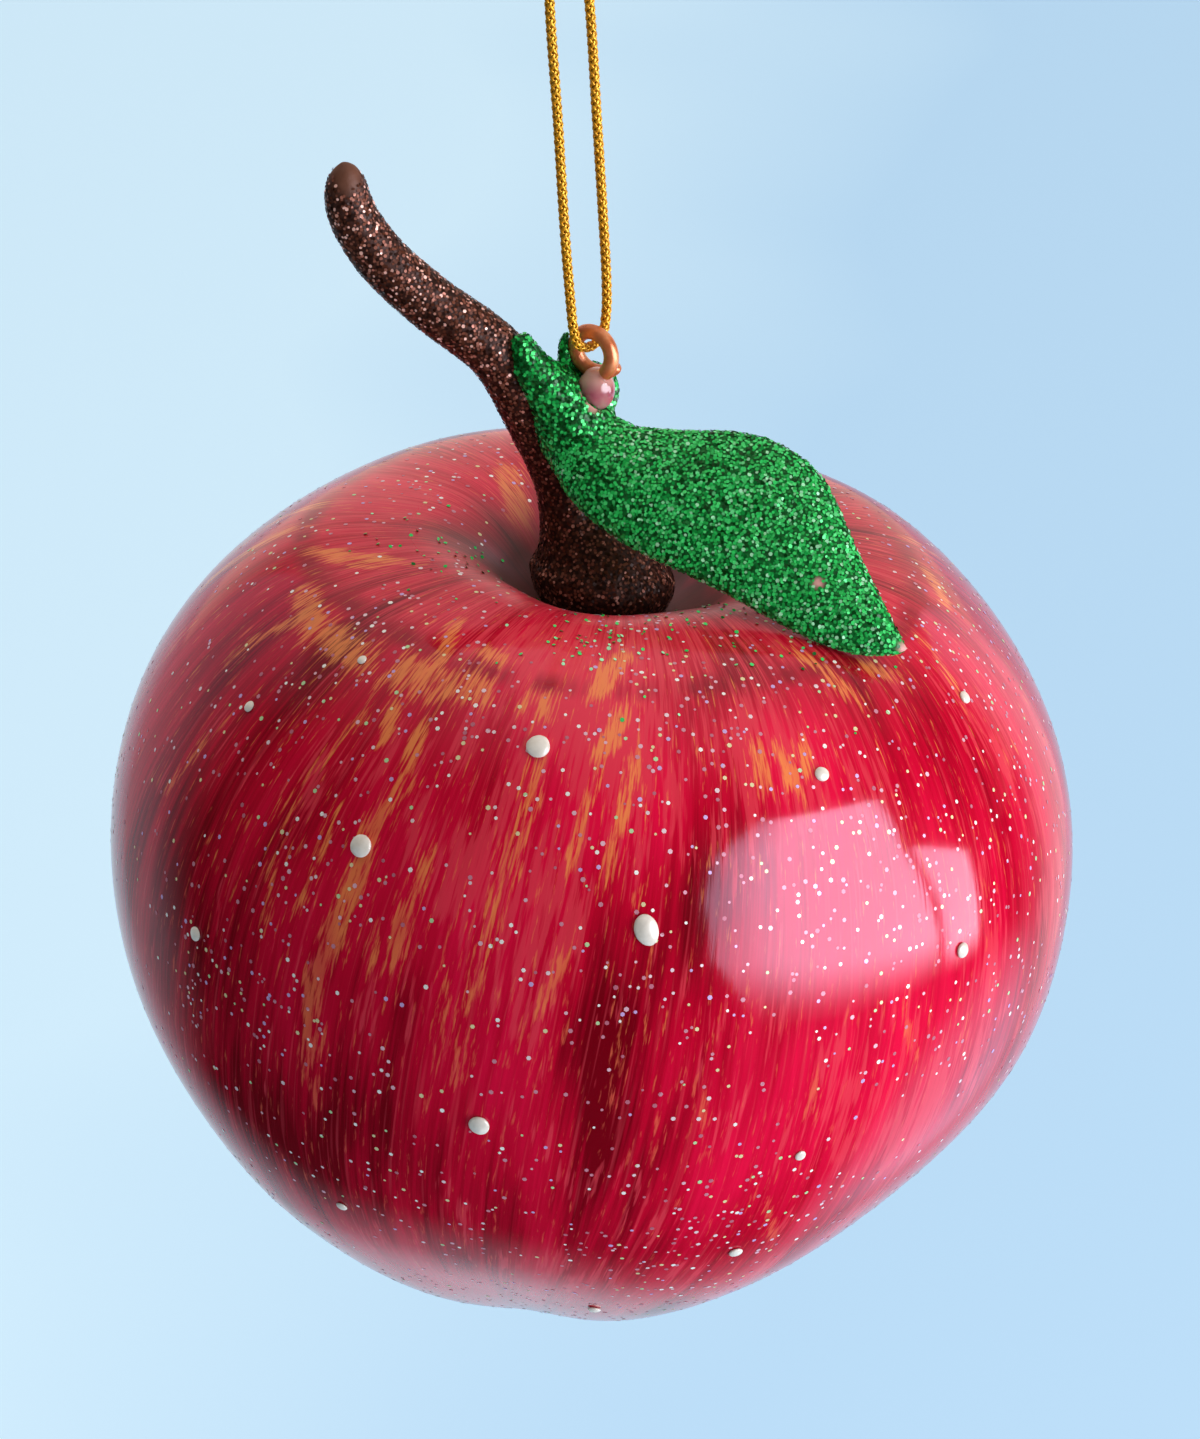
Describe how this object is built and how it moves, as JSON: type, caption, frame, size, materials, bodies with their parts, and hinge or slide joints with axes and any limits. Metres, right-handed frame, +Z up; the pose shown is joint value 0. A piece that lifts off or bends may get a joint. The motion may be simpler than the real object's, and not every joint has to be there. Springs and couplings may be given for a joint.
{
  "type": "crab apple ornament",
  "caption": "Hanging glass crab apple: hollow blown red body with raised enamel dots, glittered stem and leaf, and a wire ring in a bead on a loop of gold cord.",
  "frame": {"origin": "where a hook bears in the top of the cord loop, just under its knot", "axes": "+Z up, the pictured front towards -Y, the stem leaning to -X and the leaf to +X"},
  "size_m": [0.0798, 0.0801, 0.1403],
  "materials": {
    "red_glass": "glossy crimson lacquer with salmon and orange brush strokes and scattered fine glitter",
    "brown_glitter": "solid glass under dark brown hexagonal glitter with copper sparkles",
    "green_glitter": "solid glass under dense green hexagonal glitter with mint sparkles",
    "pink_glass": "glossy dusty pink glass, a little clear",
    "copper_wire": "polished coppery wire",
    "gold_cord": "braided metallic gold thread",
    "white_enamel": "raised glossy white enamel"
  },
  "bodies": {
    "cord": {"hanging_cord": "gold_cord", "cord_knot": "gold_cord"},
    "ornament": {"glass_body": "red_glass", "stem": "brown_glitter", "leaf": "green_glitter", "hook_bead": "pink_glass", "wire_ring": "copper_wire", "enamel_dot_01": "white_enamel", "enamel_dot_02": "white_enamel", "enamel_dot_03": "white_enamel", "enamel_dot_04": "white_enamel", "enamel_dot_05": "white_enamel", "enamel_dot_06": "white_enamel", "enamel_dot_07": "white_enamel", "enamel_dot_08": "white_enamel", "enamel_dot_09": "white_enamel", "enamel_dot_10": "white_enamel", "enamel_dot_11": "white_enamel", "enamel_dot_12": "white_enamel", "enamel_dot_13": "white_enamel", "enamel_dot_14": "white_enamel", "enamel_dot_15": "white_enamel", "enamel_dot_16": "white_enamel", "enamel_dot_17": "white_enamel", "enamel_dot_18": "white_enamel", "enamel_dot_19": "white_enamel", "enamel_dot_20": "white_enamel", "enamel_dot_21": "white_enamel", "enamel_dot_22": "white_enamel", "enamel_dot_23": "white_enamel", "enamel_dot_24": "white_enamel", "enamel_dot_25": "white_enamel"}
  },
  "joints": [
    {"name": "ornament_swing", "type": "hinge", "parent": "cord", "child": "ornament", "pos_m": [0.00276, -0.00055, -0.0447], "axis": [0.5, 0.866, 0], "range_deg": [-45, 45]}
  ]
}
